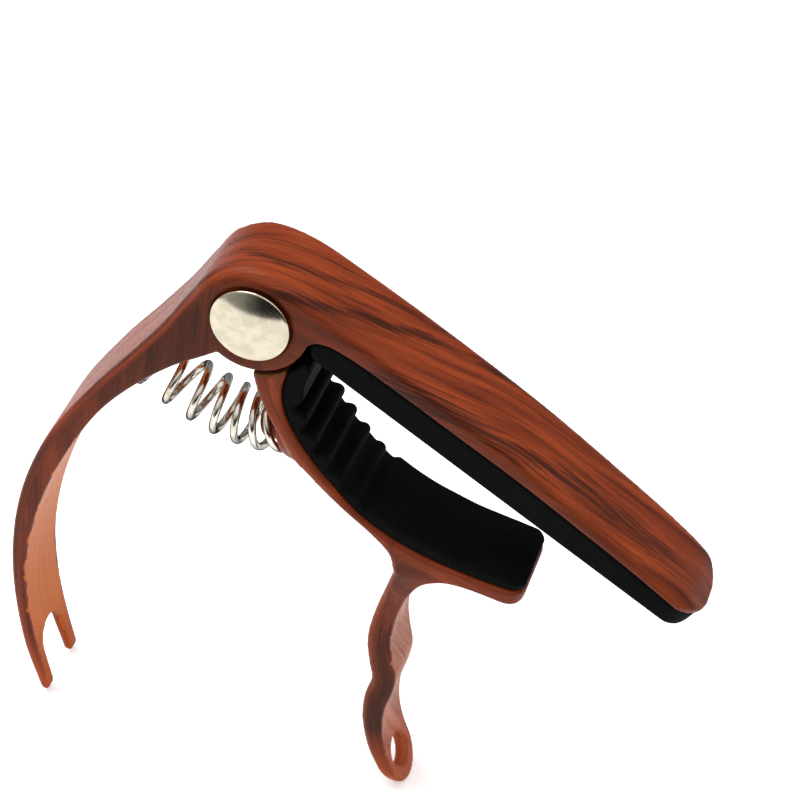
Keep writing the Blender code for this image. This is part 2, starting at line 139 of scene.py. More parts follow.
# Side profiles (mm), as (x, z): the long ones are smooth curves through their points
HOOK_OUTER = ((-28.2, -80.0), (-31.2, -71.0), (-33.2, -56.0), (-32.1, -42.0),
              (-28.0, -29.2), (-22.0, -18.8), (-16.2, -10.4), (-12.2, -4.3),
              (-9.2, 1.0), (-6.5, 5.2), (-2.2, 7.6), (3.6, 7.1), (13.0, 3.0),
              (26.5, -3.9), (38.6, -10.6), (50.5, -18.1), (58.2, -23.2),
              (63.1, -27.0), (65.6, -29.9))
BAR_UNDER = ((65.2, -30.4), (56.4, -24.7), (47.4, -19.4), (38.5, -14.3),
             (28.2, -8.9), (20.9, -5.1), (14.4, -1.9), (10.6, -0.6),
             (8.7, -0.8), (7.6, -1.75))
HOOK_INNER = ((-5.6, -7.4), (-10.8, -11.3), (-16.3, -16.9), (-20.6, -22.6),
              (-24.6, -30.4), (-28.0, -39.2), (-30.3, -48.5), (-31.1, -57.5),
              (-30.3, -66.5), (-28.8, -73.5), (-27.0, -79.9))
HOOK_END = (-27.5, -80.4)
JAW_BACK = ((0.5, -8.2), (1.7, -11.8), (3.7, -15.8), (6.4, -19.6),
            (10.0, -23.6), (14.7, -27.5), (19.3, -30.7), (22.1, -33.3),
            (23.1, -36.4))
HANDLE_OUTER = ((22.0, -41.0), (20.7, -47.0), (20.2, -52.0), (20.9, -56.4),
                (21.6, -59.6), (20.9, -63.0), (20.9, -67.4), (22.3, -73.2),
                (24.4, -77.4), (26.6, -81.6))
HANDLE_INNER = ((28.6, -81.0), (26.9, -77.6), (25.1, -73.4), (24.2, -69.4),
                (24.1, -65.2), (24.9, -61.2), (25.1, -58.4), (24.3, -54.8),
                (23.7, -51.0), (24.1, -46.0), (25.6, -40.6), (27.4, -37.3),
                (29.5, -35.8), (31.8, -35.3), (35.5, -35.5), (38.4, -35.9))
JAW_END = ((40.6, -36.0), (41.4, -35.4), (41.4, -34.4), (40.9, -33.8))
JAW_FACE = ((39.6, -33.55), (36.0, -33.35), (32.3, -32.9), (27.2, -32.0),
            (22.1, -30.3), (17.5, -27.8), (13.3, -24.2), (10.0, -20.8),
            (7.3, -17.2), (5.5, -13.8), (4.8, -10.6), (5.3, -7.0))
# Half widths of the lower arm, and the heights they are at
HANDLE_NARROWING = ((6.75, -35.8), (6.0, -39.0), (5.1, -43.0), (4.75, -47.0),
                    (4.7, -60.0), (4.7, -76.5))
# Side profiles of the pads
FRET_PAD_FACE = ((10.0, -4.45), (61.0, -31.53))
FRET_PAD_END = ((8.2, -3.0), (8.7, -3.75))
FRET_PAD_NOSE = ((62.2, -32.1), (63.4, -31.9), (64.2, -31.2), (64.3, -30.7))
NECK_PAD_TOP = ((8.6, -6.2), (7.9, -8.5), (7.9, -11.0), (8.6, -13.8),
                (10.2, -16.9), (12.15, -19.6), (14.45, -22.4), (16.75, -24.8),
                (18.9, -26.15), (22.1, -27.9), (25.2, -29.2), (28.2, -30.1),
                (31.2, -30.9), (34.2, -31.4), (38.0, -31.95), (40.2, -32.3))
NECK_PAD_END = ((6.5, -6.0), (7.3, -5.1), (8.3, -5.3))
NECK_PAD_NOSE = ((41.2, -32.7), (41.4, -33.2))

# Dark streaks of the print: strength, half width in mm, points along and across
BAR_STREAKS = (
    (0.75, 1.1, ((94, -1.4), (102, -2.2), (107, -1.0), (112, 1.5), (116, 3.2), (122, 4.4),
                (130, 6.4))),
    (1.0, 1.2, ((101, -8.4), (107, -6.7), (111, -4.7), (114.5, -2.6), (118, -1.2),
                 (122, 1.2), (126, 3.0), (131, 4.5), (139, 6.0))),
    (0.85, 2.2, ((118, -10.0), (126, -8.4), (132, -7.4), (137, -6.6), (143, -5.2),
                 (149, -3.2), (157, -2.6), (164, -1.8), (171, -0.8))),
    (0.45, 0.6, ((141, -9.6), (151, -8.0), (158, -6.9), (163, -6.4), (170, -5.4))),
    (0.5, 0.4, ((96, 0.6), (104, 1.6), (112, 4.2), (119, 6.4))),
    (0.4, 0.6, ((104, -4.6), (110, -2.0), (116, 0.6), (122, 3.0))),
    (0.4, 0.6, ((136, 1.2), (144, 2.4), (154, 3.0), (166, 3.4))),
)
# Dark streaks on the flat sides of the hook: centre, half length, half width
SIDE_STREAKS = ((-7.6, -2.5, 5.5, 1.0), (-9.6, 1.5, 3.0, 0.9), (-13.4, -10.5, 3.2, 1.0),
                (-18.0, -16.5, 3.0, 0.9))
# Drift of the grain across the bar, as length along the arm and shift
GRAIN_DRIFT = ((0, 0), (92, 0), (112, 4.5), (140, 12.0), (172, 16.0))

# Rims, fillets and fades of the castings (mm)
HOOK_TAPER = (-8.0, 75.0)      # height where it starts, and its length
HOOK_TAPER_X = (-5.0, 5.0)     # the same, towards the back
HOOK_ROUND_X = (-9.0, 12.0)    # where the rounding starts to shrink, and its length
SEAT_RIM = 0.25
SLOT_RIM = 0.3
BORE_RIM = 0.1
FORK_RIM = 0.35
POCKET_RIM = 0.4
SHOULDER_RIM = 0.5
HOLE_RIM = 0.9
SEAT_EDGE = 0.5
SEAT_INSET = 0.4
SEAT_FILLET = 1.2
BOSS_EDGE = 0.5
BOSS_FILLET = 0.6
BOSS_ROOT = 1.0
POCKET_DEPTH = 10.0
FORK_LIMIT_X = -20.0
HOLE_REACH = 4.0
PRONG_POWER = 2.6              # 2 would be a plain round end
CONE_SLOPE = 0.89

# Pads and tapes (mm)
PAD_LIFT = 0.03
FRET_PAD_SPAN = (8.1, 64.0)
FRET_PAD_TIP = (64.4, -30.9)
FRET_PAD_CORNER = 4.6
FRET_TAPE_SPAN = (11.8, 60.2)
NECK_TAPE_SPAN = slice(4, -6)   # points of the jaw's face that the tape covers
RECESS_BACK = 0.5
RECESS_FRONT = 0.58
RECESS_GAP = 0.1
RECESS_RIM = 0.05
RIB_POWERS = (2.4, 0.8)        # how square a rib's crown and foot are

# Cap (mm), and the spring's wire as shares of its radius
CAP_HUB = 0.01
CAP_ROLL = 0.22
CAP_ROLL_DEG = range(-90, 70, 10)
CAP_INSET = 0.3
CAP_SHARP_DEG = 50
DOME_RINGS = 30
RINGS_PER_TURN = 44
WIRE_SIDES = 16
WIRE_END = ((0.8, 0.5), (0.35, 0.75))   # size and push of each closing ring
WIRE_APEX = 0.8
BLEND_REACH = 1.0              # mm past each end of the spring's axis

# Where the print and the painted shade of the flat sides lie: spans and places in mm, slopes and
# strengths as shares
HOOK_START_X = (-4.0, -7.0)
UPPER_SIDE = ((0.9, 0.3), (0.5, 1.3))    # towards the flat side, off the outer edge
LOWER_SIDE = ((0.7, 0.3), (0.2, 0.9))
INNER_SHARE = 0.8
SIDE_GRAIN_SLOPE = 1.1
SIDE_LEAN = 0.1
HANDLE_GRAIN_SLOPE = 0.5
HANDLE_STRENGTH = 0.55
HANDLE_SPAN_X = (21, 29.5)
HANDLE_TOP_Z = -36
STRAP_START_X = (20.5, 25.5)
STRAP_START_Z = (-41.0, -37.0)
JAW_WRAP = 1.5
JAW_PHASE = 9.0
JAW_STRENGTH = 0.6

# Camera, in mm from the pivot
CAMERA_RIGHT = (0.9491, 0.2985, 0.0998)
CAMERA_UP = (-0.2652, 0.5876, 0.7645)
CAMERA_PLACE = (84.1, -286.4, 231.1)
CAMERA_LENS = 128.5
CAMERA_SENSOR = 36

# Light, in m from the pivot, and floor, in m
LIGHT_TARGET = (0.015, 0, -0.04)
LIGHT_PLACE = (-0.35, 0.05, 0.75)
LIGHT_SIZE = 0.6
LIGHT_POWER = 5.0
FLOOR_NEAR = -0.24
FLOOR_FAR = 1.6
FLOOR_HALF = 1.4

CURVE_STEPS = 8
CASTING_STEP = 0.31        # grid spacing of the castings' fields
PAD_STEP = 0.2
MARGIN = 1.2
LEAST_SLOPE = 0.02         # of a field, when points are put back on its surface
MOST_STEP = 4              # in grid units


# ---------------------------------------------------------------- curves

def smooth(points, steps=CURVE_STEPS):
    """Points of a centripetal Catmull-Rom curve through the given points."""
    pts = [Vector(p) for p in points]
    pts = [2 * pts[0] - pts[1]] + pts + [2 * pts[-1] - pts[-2]]
    out = []
    for p0, p1, p2, p3 in zip(pts, pts[1:], pts[2:], pts[3:]):
        t0 = 0.0
        t1 = t0 + math.sqrt((p1 - p0).length)
        t2 = t1 + math.sqrt((p2 - p1).length)
        t3 = t2 + math.sqrt((p3 - p2).length)
        for k in range(steps):
            t = t1 + (t2 - t1) * k / steps
            a1 = p0.lerp(p1, (t - t0) / (t1 - t0))
            a2 = p1.lerp(p2, (t - t1) / (t2 - t1))
            a3 = p2.lerp(p3, (t - t2) / (t3 - t2))
            b1 = a1.lerp(a2, (t - t0) / (t2 - t0))
            b2 = a2.lerp(a3, (t - t1) / (t3 - t1))
            out.append(tuple(b1.lerp(b2, (t - t1) / (t2 - t1))))
    out.append(tuple(pts[-2]))
    return out


def arc(radius, start_deg, end_deg, steps):
    """Points of an arc about the pivot, both ends included."""
    angles = np.radians(np.linspace(start_deg, end_deg, steps + 1))
    return [(radius * math.cos(a), radius * math.sin(a)) for a in angles]


def offset(points, distance):
    """An open curve moved to its left by a distance, or by one for each point."""
    out = []
    for k, point in enumerate(points):
        ahead = Vector(points[min(k + 1, len(points) - 1)])
        behind = Vector(points[max(k - 1, 0)])
        along = (ahead - behind).normalized()
        shift = distance[k] if isinstance(distance, list) else distance
        out.append((point[0] - along.y * shift, point[1] + along.x * shift))
    return out


def quadratic(t):
    """Point and unit direction at t on the spring's axis."""
    a, b, c = (Vector(p) for p in SPRING_AXIS)
    point = a.lerp(b, t).lerp(b.lerp(c, t), t)
    return point, (b - a).lerp(c - b, t).normalized()


def nearest(path, x, z):
    """Distance to an open path, and the length along it at the nearest point."""
    best = np.full(np.broadcast(x, z).shape, 1e9)
    along = np.zeros_like(best)
    start = 0.0
    for (ax, az), (bx, bz) in zip(path, path[1:]):
        dx, dz = bx - ax, bz - az
        length = math.hypot(dx, dz)
        if length < 1e-9:
            continue
        t = np.clip(((x - ax) * dx + (z - az) * dz) / length ** 2, 0, 1)
        d = np.hypot(x - ax - t * dx, z - az - t * dz)
        closer = d < best
        best = np.where(closer, d, best)
        along = np.where(closer, start + t * length, along)
        start += length
    return best, along


def signed(outline, x, z):
    """Signed distance to a closed outline, negative inside it."""
    ring = list(outline) + [outline[0]]
    inside = np.zeros(np.broadcast(x, z).shape, bool)
    for (ax, az), (bx, bz) in zip(ring, ring[1:]):
        if az == bz:
            continue
        spans = (az > z) != (bz > z)
        inside ^= spans & (x < (bx - ax) * (z - az) / (bz - az) + ax)
    distance, _ = nearest(ring, x, z)
    return np.where(inside, -distance, distance)


# ---------------------------------------------------------------- fields

def rounded(a, b, radius):
    """Where two half spaces meet, with their shared edge rounded over."""
    a = a + radius
    b = b + radius
    outside = np.hypot(np.maximum(a, 0), np.maximum(b, 0))
    return np.minimum(np.maximum(a, b), 0) + outside - radius


def join(a, b, blend):
    """Union of two fields with a fillet."""
    h = np.maximum(blend - np.abs(a - b), 0) / blend
    return np.minimum(a, b) - h * h * blend / 4


def cut(a, b, blend):
    """Field a without field b, with the rim rounded."""
    return -join(-a, b, blend)


class Grid:
    """Points over the back half of a piece, along its three axes."""

    def __init__(self, outline, half, step):
        points = np.array(outline, float)
        low = points.min(0) - MARGIN
        high = points.max(0) + MARGIN
        self.step = step
        self.xs = np.arange(low[0], high[0] + step, step)
        self.zs = np.arange(low[1], high[1] + step, step)
        count = int((half + MARGIN) / step) + 1
        self.x = self.xs[:, None, None]
        self.y = ((np.arange(count) + 0.5) * step)[None, :, None]
        self.z = self.zs[None, None, :]

    def mesh(self, name, field):
        """The field's zero surface as an object, mirrored across Y."""
        field = np.broadcast_to(field, (len(self.xs), self.y.shape[1], len(self.zs)))
        whole = np.concatenate([field[:, ::-1], field], axis=1).astype(np.float32)
        origin = np.array([self.xs[0], -self.y[0, -1, 0], self.zs[0]])
        points, quads = surface(whole)
        points = relax(points, quads, whole)
        return new_mesh(name, points * self.step + origin, quads.tolist())


def surface(field):
    """Surface nets: points in grid units and quads on the field's zero level."""
    shape = np.array(field.shape)
    cell_shape = shape - 1
    strides = np.array([cell_shape[1] * cell_shape[2], cell_shape[2], 1])
    inside = field < 0
    owners = []
    crossings = []
    corners = []
    for axis in range(3):
        low = [slice(None)] * 3
        high = [slice(None)] * 3
        low[axis] = slice(None, -1)
        high[axis] = slice(1, None)
        here, there = inside[tuple(low)], inside[tuple(high)]
        edge = np.argwhere(here != there)
        other = [k for k in range(3) if k != axis]
        keep = np.all((edge[:, other] > 0) & (edge[:, other] < cell_shape[other]), axis=1)
        edge = edge[keep]
        a = field[tuple(low)][tuple(edge.T)]
        b = field[tuple(high)][tuple(edge.T)]
        point = edge.astype(float)
        point[:, axis] += a / (a - b)
        ids = []
        for du, dv in ((-1, -1), (0, -1), (0, 0), (-1, 0)):
            cell = edge.copy()
            cell[:, other[0]] += du
            cell[:, other[1]] += dv
            ids.append(cell @ strides)
            owners.append(ids[-1])
            crossings.append(point)
        quad = np.stack(ids, axis=1)
        flip = (a < 0) == (axis == 1)
        quad[flip] = quad[flip][:, ::-1]
        corners.append(quad)
    owners = np.concatenate(owners)
    crossings = np.concatenate(crossings)
    used, index = np.unique(owners, return_inverse=True)
    count = np.bincount(index)
    points = np.stack([np.bincount(index, crossings[:, k]) / count for k in range(3)], axis=1)
    quads = np.searchsorted(used, np.concatenate(corners))
    return points, quads


def sample(field, points):
    """Value and slope of a field at points in grid units, by linear interpolation."""
    base = np.clip(np.floor(points).astype(int), 0, np.array(field.shape) - 2)
    part = points - base
    value = np.zeros(len(points))
    slope = np.zeros_like(points)
    for corner in np.ndindex(2, 2, 2):
        index = base + corner
        f = field[tuple(index.T)]
        weights = np.where(corner, part, 1 - part)
        value += f * weights.prod(axis=1)
        for k in range(3):
            others = [j for j in range(3) if j != k]
            sign = 1 if corner[k] else -1
            slope[:, k] += sign * f * weights[:, others].prod(axis=1)
    return value, slope


def relax(points, quads, field, rounds=5):
    """Even the points out, then put them back on the field's zero level."""
    a = quads.ravel()
    b = np.roll(quads, -1, axis=1).ravel()
    count = np.bincount(a, minlength=len(points)) + np.bincount(b, minlength=len(points))
    for _ in range(rounds):
        total = np.zeros_like(points)
        for k in range(3):
            total[:, k] += np.bincount(a, points[b, k], len(points))
            total[:, k] += np.bincount(b, points[a, k], len(points))
        points = 0.5 * points + 0.5 * total / count[:, None]
        for _ in range(2):
            value, slope = sample(field, points)
            size = np.maximum((slope ** 2).sum(axis=1), LEAST_SLOPE ** 2)
            step = np.clip(value / size, -MOST_STEP, MOST_STEP)
            points = points - slope * step[:, None]
    return points


def new_mesh(name, points, faces):
    """A smooth-shaded object from points in mm about the pivot."""
    mesh = bpy.data.meshes.new(name)
    mesh.from_pydata((PIVOT + np.asarray(points) * MM).tolist(), [], faces)
    mesh.validate()
    mesh.shade_smooth()
    obj = bpy.data.objects.new(name, mesh)
    bpy.context.scene.collection.objects.link(obj)
    return obj


def tip(grid, at, slope_deg, corner, half):
    """The rounded end of an arm, seen along the arm's own normal."""
    slope = math.radians(slope_deg)
    along = (grid.x - at[0]) * math.cos(slope) + (grid.z - at[1]) * math.sin(slope)
    return rounded(along, grid.y - half, corner)


# ---------------------------------------------------------------- castings

UPPER_OUTER = smooth(HOOK_OUTER)
UPPER_UNDER = smooth(BAR_UNDER)
UPPER_INNER = smooth(HOOK_INNER)
LOWER_OUTER = smooth(JAW_BACK) + smooth(HANDLE_OUTER)
LOWER_INNER = smooth(HANDLE_INNER)
LOWER_FACE = smooth(JAW_FACE)


def hook_half(x, z):
    """Half width of the upper arm, which narrows down the hook."""
    share = np.clip((HOOK_TAPER[0] - z) / HOOK_TAPER[1], 0, 1)
    share = share * np.clip((HOOK_TAPER_X[0] - x) / HOOK_TAPER_X[1], 0, 1)
    return BODY_HALF - (BODY_HALF - HOOK_TIP_HALF) * share


def handle_half(z):
    """Half width of the lower arm, which narrows down the handle."""
    widths, levels = zip(*HANDLE_NARROWING[::-1])
    return np.interp(z, levels, widths)


def ring_gap(x, y, z):
    """Distance to the wall of the ring's hole, negative inside the hole."""
    turn = math.radians(RING_NORMAL_DEG)
    lift = (z - RING_CENTRE[1]) * math.cos(turn) - (x - RING_CENTRE[0]) * math.sin(turn)
    return np.hypot(lift, y) - RING_HOLE_RADIUS


def about_spring(x, z, t, shift):
    """Distance past a plane across the spring's axis, and distance beside it."""
    start, along = quadratic(t)
    plane = start + along * shift
    depth = (x - plane.x) * along.x + (z - plane.y) * along.y
    across = (z - plane.y) * along.x - (x - plane.x) * along.y
    return depth, across


def build_upper_arm():
    """Bar, cheeks and forked hook, with the cap seats, slot and spring pocket."""
    outline = UPPER_OUTER + UPPER_UNDER + arc(CHEEK_RADIUS, *CHEEK_ARC, 40)
    outline += UPPER_INNER + [HOOK_END]
    grid = Grid(outline, BODY_HALF, CASTING_STEP)
    x, y, z = grid.x, grid.y, grid.z
    side = signed(outline, x, z)
    outer, _ = nearest(UPPER_OUTER, x, z)
    half = hook_half(x, z)
    field = rounded(side, y - half, INNER_ROUND)
    down_hook = np.clip((HOOK_ROUND_X[0] - x) / HOOK_ROUND_X[1], 0, 1)
    over = rounded(-outer, y - half, BAR_ROUND + (HOOK_ROUND - BAR_ROUND) * down_hook)
    field = np.where(side < 0, np.maximum(field, over), field)
    field = np.maximum(field, tip(grid, BAR_TIP, BAR_SLOPE_DEG, BAR_TIP_CORNER, BODY_HALF))
    radius = np.hypot(x, z)
    seat = np.maximum(radius - CAP_SEAT_RADIUS, CAP_SEAT_LEVEL - y)
    field = cut(field, seat, SEAT_RIM)
    slot = arc(SLOT_RADIUS, SLOT_ANGLES[1], SLOT_ANGLES[0] + 360, 60)
    slot += arc(SLOT_REACH, *SLOT_ANGLES, 24)
    field = cut(field, np.maximum(signed(slot, x, z), y - SLOT_HALF), SLOT_RIM)
    field = cut(field, radius - CHEEK_BORE, BORE_RIM)
    above = np.maximum(z - FORK_CROTCH_Z, 0)
    fork = np.maximum(np.hypot(y, above) - FORK_SLOT_HALF, x - FORK_LIMIT_X)
    field = cut(field, fork, FORK_RIM)
    prong = 0.5 * (HOOK_TIP_HALF - FORK_SLOT_HALF)
    below = np.minimum(z - (HOOK_END_Z + prong), 0)
    aside = np.abs(y - HOOK_TIP_HALF + prong)
    ends = aside ** PRONG_POWER + np.abs(below) ** PRONG_POWER
    ends = ends ** (1 / PRONG_POWER) - prong
    field = np.where(z < HOOK_END_Z + prong, np.maximum(field, ends), field)
    depth, across = about_spring(x, z, 0.0, -SEAT_GAP)
    pocket = np.maximum(np.hypot(across, y) - POCKET_RADIUS, -depth)
    pocket = np.maximum(pocket, depth - POCKET_DEPTH)
    field = cut(field, pocket, POCKET_RIM)
    return grid.mesh("upper_arm_casting", field)


def build_lower_arm():
    """Knuckle, jaw, spring seat and wavy handle with its ring."""
    outline = LOWER_OUTER + LOWER_INNER + smooth(JAW_END) + LOWER_FACE
    outline += arc(KNUCKLE_RADIUS, 0, KNUCKLE_END_DEG, 50)
    grid = Grid(outline, BODY_HALF, CASTING_STEP)
    x, y, z = grid.x, grid.y, grid.z
    side = signed(outline, x, z)
    outer, _ = nearest(LOWER_OUTER, x, z)
    face, _ = nearest(LOWER_FACE, x, z)
    half = handle_half(z)
    drop = np.maximum(RING_CENTRE[1] - z, 0) / math.cos(math.radians(RING_NORMAL_DEG))
    reach = np.hypot(y, drop)
    field = rounded(side, reach - half, INNER_ROUND)
    over = rounded(-outer, reach - half, HANDLE_ROUND)
    field = np.where(side < 0, np.maximum(field, over), field)
    depth, across = about_spring(x, z, 1.0, SEAT_GAP)
    axis_gap = np.hypot(across, y)
    cone = axis_gap - SEAT_RADII[0] - (SEAT_RADII[1] - SEAT_RADII[0]) * depth / SEAT_LENGTH
    seat = rounded(cone * CONE_SLOPE, -depth, SEAT_EDGE)
    seat = np.maximum(seat, (outer - face) / 2)
    seat = np.maximum(seat, y - BODY_HALF + SEAT_INSET)
    field = join(field, seat, SEAT_FILLET)
    boss = axis_gap - np.interp(depth, (-BOSS_LENGTH, 0), (BOSS_RADII[1], BOSS_RADII[0]))
    boss = rounded(boss, -depth - BOSS_LENGTH, BOSS_EDGE)
    boss = np.maximum(boss, depth - BOSS_ROOT)
    field = join(field, boss, BOSS_FILLET)
    field = np.maximum(field, tip(grid, JAW_TIP, JAW_SLOPE_DEG, JAW_TIP_CORNER, BODY_HALF))
    radius = np.hypot(x, z)
    shoulder = np.maximum(radius - SHOULDER_RADIUS, KNUCKLE_HALF - y)
    field = cut(field, shoulder, SHOULDER_RIM)
    field = cut(field, radius - KNUCKLE_BORE, BORE_RIM)
    hole = np.maximum(ring_gap(x, y, z), RING_CENTRE[1] - HOLE_REACH - z)
    field = cut(field, hole, HOLE_RIM)
    return grid.mesh("lower_arm_casting", field)


# ---------------------------------------------------------------- pads

def between(points, low, high):
    """The points whose x lies inside a span."""
    return [point for point in points if low < point[0] < high]


def build_pad(name, outline, end, near, far):
    """A rounded pad, hollowed between two curves where its tape sits."""
    grid = Grid(outline, PAD_HALF, PAD_STEP)
    side = signed(outline, grid.x, grid.z)
    field = rounded(side, grid.y - PAD_HALF, PAD_ROUND)
    field = np.maximum(field, tip(grid, *end, PAD_HALF))
    recess = signed(near + far[::-1], grid.x, grid.z)
    recess = np.maximum(recess, grid.y - TAPE_HALF - RECESS_GAP)
    field = cut(field, recess, RECESS_RIM)
    return grid.mesh(name, field)


def build_fret_pad():
    """Flat-faced pad along the bar."""
    top = between(offset(UPPER_UNDER, PAD_LIFT), *FRET_PAD_SPAN)
    outline = top + list(FRET_PAD_END) + list(FRET_PAD_FACE) + smooth(FRET_PAD_NOSE)
    end = (FRET_PAD_TIP, BAR_SLOPE_DEG, FRET_PAD_CORNER)
    near = between(offset(UPPER_UNDER, -RECESS_BACK), *FRET_TAPE_SPAN)
    far = between(offset(UPPER_UNDER, RECESS_FRONT), *FRET_TAPE_SPAN)
    return build_pad("fret_pad_silicone", outline, end, near, far)


def ribbed(path, back):
    """A path with round ribs between wide grooves, which stop short of the back."""
    lengths = [0.0]
    for a, b in zip(path, path[1:]):
        lengths.append(lengths[-1] + (Vector(b) - Vector(a)).length)
    last = next(s for s, point in zip(lengths, path) if point[0] >= LAST_RIB_X)
    depths = []
    for length in lengths:
        turns = (length - last) / RIB_PITCH
        away = abs(turns - round(turns)) / RIB_SHARE
        groove = RIB_HEIGHT * (1 - max(1 - away ** RIB_POWERS[0], 0) ** RIB_POWERS[1])
        depths.append(groove if -(RIB_COUNT - 1) < turns < 1 else 0.0)
    web, _ = nearest(back, np.array([p[0] for p in path]), np.array([p[1] for p in path]))
    depths = [-min(depth, room - GROOVE_WEB) for depth, room in zip(depths, web)]
    return offset(path, depths)


def build_neck_pad():
    """Curved pad on the jaw, ribbed near the throat."""
    face = LOWER_FACE
    outline = offset(face, -PAD_LIFT) + list(NECK_PAD_END)
    back = offset(face, -SEAT_GAP)
    outline += ribbed(smooth(NECK_PAD_TOP, 20), back) + list(NECK_PAD_NOSE)
    end = (JAW_TIP, JAW_SLOPE_DEG, JAW_TIP_CORNER)
    near = offset(face, RECESS_BACK)[NECK_TAPE_SPAN]
    far = offset(face, -RECESS_FRONT)[NECK_TAPE_SPAN]
    return build_pad("neck_pad_silicone", outline, end, near, far)


# ---------------------------------------------------------------- pivot and spring

def turned(name, profile, sign, steps=128):
    """Spin a closed (radius, distance along the pivot) profile about the pivot."""
    ring = np.array(profile, float)
    angles = np.linspace(0, 2 * math.pi, steps, endpoint=False)
    points = [(r * math.cos(a), sign * h, r * math.sin(a)) for a in angles for r, h in ring]
    count = len(ring)
    faces = []
    for k in range(steps):
        a, b = k * count, (k + 1) % steps * count
        for j in range(count):
            after = (j + 1) % count
            quad = (a + j, a + after, b + after, b + j)
            faces.append(quad if sign > 0 else quad[::-1])
    obj = new_mesh(name, points, faces)
    obj.data.set_sharp_from_angle(angle=math.radians(CAP_SHARP_DEG))
    return obj


def build_cap(name, sign):
    """A low round dome with a rolled edge."""
    profile = [(CAP_HUB, CAP_BACK), (CAP_RADIUS - CAP_INSET, CAP_BACK)]
    for degrees in CAP_ROLL_DEG:
        a = math.radians(degrees)
        inward = CAP_ROLL * (1 - math.cos(a))
        profile.append((CAP_RADIUS - inward, CAP_EDGE + CAP_ROLL * math.sin(a)))
    edge, start = profile[-1]
    ball = (edge ** 2 + (CAP_TOP - start) ** 2) / (2 * (CAP_TOP - start))
    for k in range(1, DOME_RINGS + 1):
        r = edge * (1 - k / DOME_RINGS)
        profile.append((max(r, CAP_HUB), CAP_TOP - ball + math.sqrt(ball ** 2 - r ** 2)))
    return turned(name, profile, sign)


def build_spring():
    """Round wire wound about the bowed axis, with rounded ends."""
    rings = int(SPRING_TURNS * RINGS_PER_TURN)
    sides = WIRE_SIDES
    centres = []
    outward = []
    for k in range(rings + 1):
        t = k / rings
        point, along = quadratic(t)
        angle = -2 * math.pi * SPRING_TURNS * t
        radial = Vector((-along.y * math.cos(angle), math.sin(angle), along.x * math.cos(angle)))
        centres.append(Vector((point.x, 0, point.y)) + radial * SPRING_COIL_RADIUS)
        outward.append(radial)
    points = []
    for k, centre in enumerate(centres):
        tangent = (centres[min(k + 1, rings)] - centres[max(k - 1, 0)]).normalized()
        out = (outward[k] - tangent * outward[k].dot(tangent)).normalized()
        binormal = tangent.cross(out)
        for side in range(sides):
            angle = 2 * math.pi * side / sides
            edge = out * math.cos(angle) + binormal * math.sin(angle)
            points.append(centre + edge * WIRE_RADIUS)
    faces = []
    for k in range(rings):
        for side in range(sides):
            after = (side + 1) % sides
            a, b = k * sides, (k + 1) * sides
            faces.append((a + side, b + side, b + after, a + after))
    ends = ((0, centres[0] - centres[1], 1), (rings, centres[-1] - centres[-2], -1))
    for ring, away, sign in ends:
        away = away.normalized()
        previous = [ring * sides + side for side in range(sides)]
        for size, push in WIRE_END:
            loop = []
            for side in range(sides):
                rim = points[ring * sides + side]
                moved = centres[ring].lerp(rim, size) + away * (WIRE_RADIUS * push)
                loop.append(len(points))
                points.append(moved)
            for side in range(sides):
                after = (side + 1) % sides
                quad = (previous[side], previous[after], loop[after], loop[side])
                faces.append(quad if sign > 0 else quad[::-1])
            previous = loop
        apex = len(points)
        points.append(centres[ring] + away * (WIRE_RADIUS * WIRE_APEX))
        for side in range(sides):
            after = (side + 1) % sides
            face = (previous[side], previous[after], apex)
            faces.append(face if sign > 0 else face[::-1])
    return new_mesh("spring_coil", [tuple(point) for point in points], faces)


# ---------------------------------------------------------------- grain

def local_points(obj):
    """The mesh's points in mm about the pivot."""
    co = np.zeros(len(obj.data.vertices) * 3, np.float32)
    obj.data.vertices.foreach_get("co", co)
    return (co.reshape(-1, 3).astype(float) - PIVOT) / MM


def store(obj, name, values):
    """Keep values on the mesh's points for its material."""
    kind = "FLOAT_VECTOR" if values.ndim == 2 else "FLOAT"
    attribute = obj.data.attributes.new(name, kind, "POINT")
    key = "vector" if values.ndim == 2 else "value"
    attribute.data.foreach_set(key, values.astype(np.float32).ravel())


def ease(value, low, high):
    """Smooth step from 0 at low to 1 at high."""
    t = np.clip((value - low) / (high - low), 0, 1)
    return t * t * (3 - 2 * t)


def peak(value, centre, width):
    """A smooth peak of height 1 at the centre."""
    return np.exp(-((value - centre) / width) ** 2)


def spot(x, z, at, width):
    """The same, round a place on the side of an arm."""
    return np.exp(-((x - at[0]) / width) ** 2 - ((z - at[1]) / width) ** 2)


def unroll(depth, y):
    """Place across the arm, counted on over the rounded edge and down the side."""
    return y + np.where(y < 0, -depth, depth)


def streaks(along, across):
    """How dark the print's listed streaks are at each point."""
    dark = np.zeros_like(along)
    for strength, width, path in BAR_STREAKS:
        at, centre = np.array(path, float).T
        here = peak(across, np.interp(along, at, centre), width)
        here *= ease(along, at[0] - 2, at[0] + 5) * ease(along, at[-1] + 2, at[-1] - 5)
        dark = np.maximum(dark, strength * here)
    return dark


